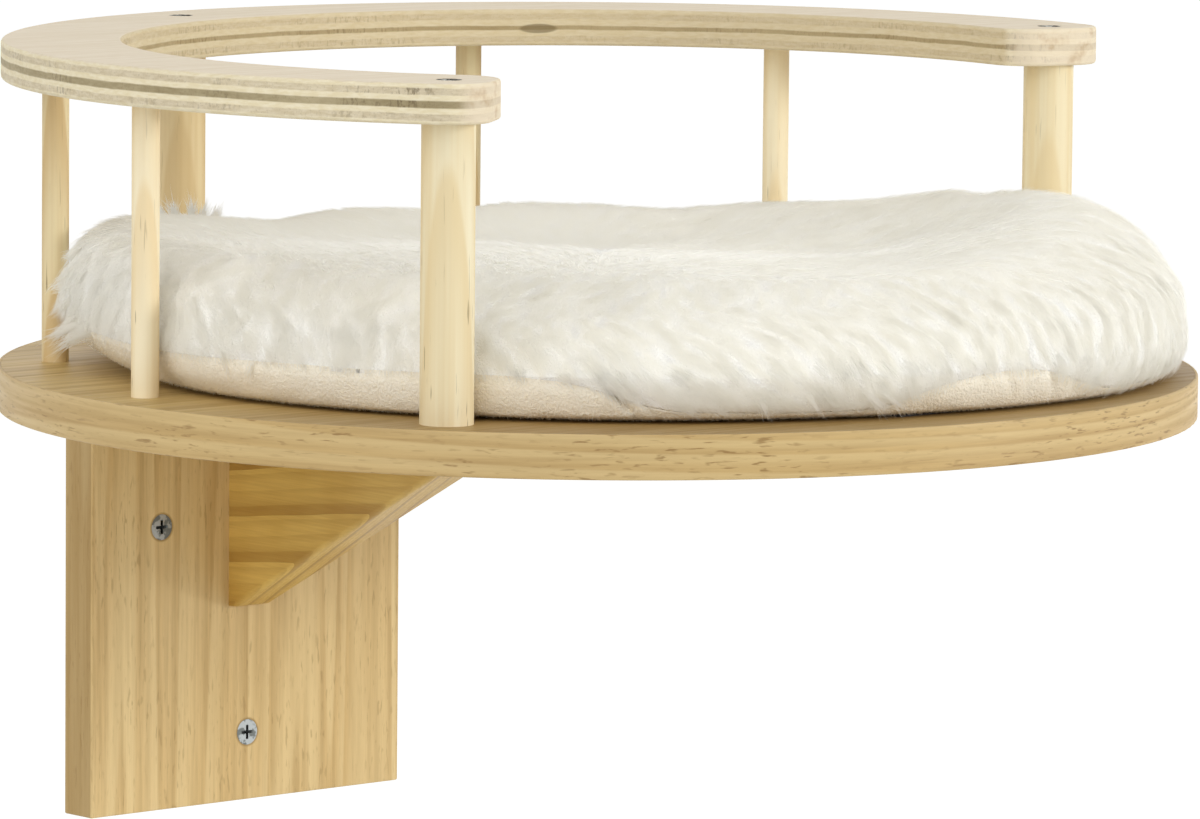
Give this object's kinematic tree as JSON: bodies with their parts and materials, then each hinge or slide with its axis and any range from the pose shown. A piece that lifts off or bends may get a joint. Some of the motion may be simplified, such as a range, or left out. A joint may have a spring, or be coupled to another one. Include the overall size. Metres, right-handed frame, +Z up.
{
  "type": "cat wall shelf",
  "caption": "Round wall-mounted cat shelf on a plate and wedge bracket, with a C-shaped plywood rail on posts and a loose plush cushion.",
  "frame": {"origin": "centre of the wall plate's back face, which lies flat against the wall", "axes": "+X to the right along the wall as seen from the room, +Y into the wall, +Z up"},
  "size_m": [0.4199, 0.453, 0.2925],
  "materials": {
    "oak_foil": "satin",
    "oak_edging": "satin",
    "pine": "satin",
    "bracket_pine": "satin",
    "birch_ply": "satin",
    "zinc_steel": "satin",
    "nylon": "matte",
    "hook_tape": "matte",
    "loop_tape": "matte",
    "white_plush": "matte",
    "cream_velour": "matte",
    "fibre_filling": "matte"
  },
  "bodies": {
    "shelf": {"shelf_board": "oak_foil", "board_edging": "oak_edging", "wall_plate": "oak_foil", "plate_edging": "oak_edging", "bracket": "bracket_pine", "rail": "birch_ply", "post_left": "pine", "post_back": "pine", "post_right": "pine", "spindle_left_front": "pine", "spindle_left_back": "pine", "spindle_right_back": "pine", "spindle_right_front": "pine", "rail_screws": "zinc_steel", "post_base_screws": "zinc_steel", "board_screws": "zinc_steel", "bracket_screws": "zinc_steel", "wall_screws": "zinc_steel", "wall_plugs": "nylon", "hook_strips": "hook_tape"},
    "cushion": {"cushion_top": "white_plush", "cushion_base": "cream_velour", "cushion_filling": "fibre_filling", "loop_strips": "loop_tape"}
  },
  "joints": [
    {"name": "cushion_lift", "type": "slide", "parent": "shelf", "child": "cushion", "axis": [0, 0, 1], "range_m": [0, 0.042]}
  ]
}
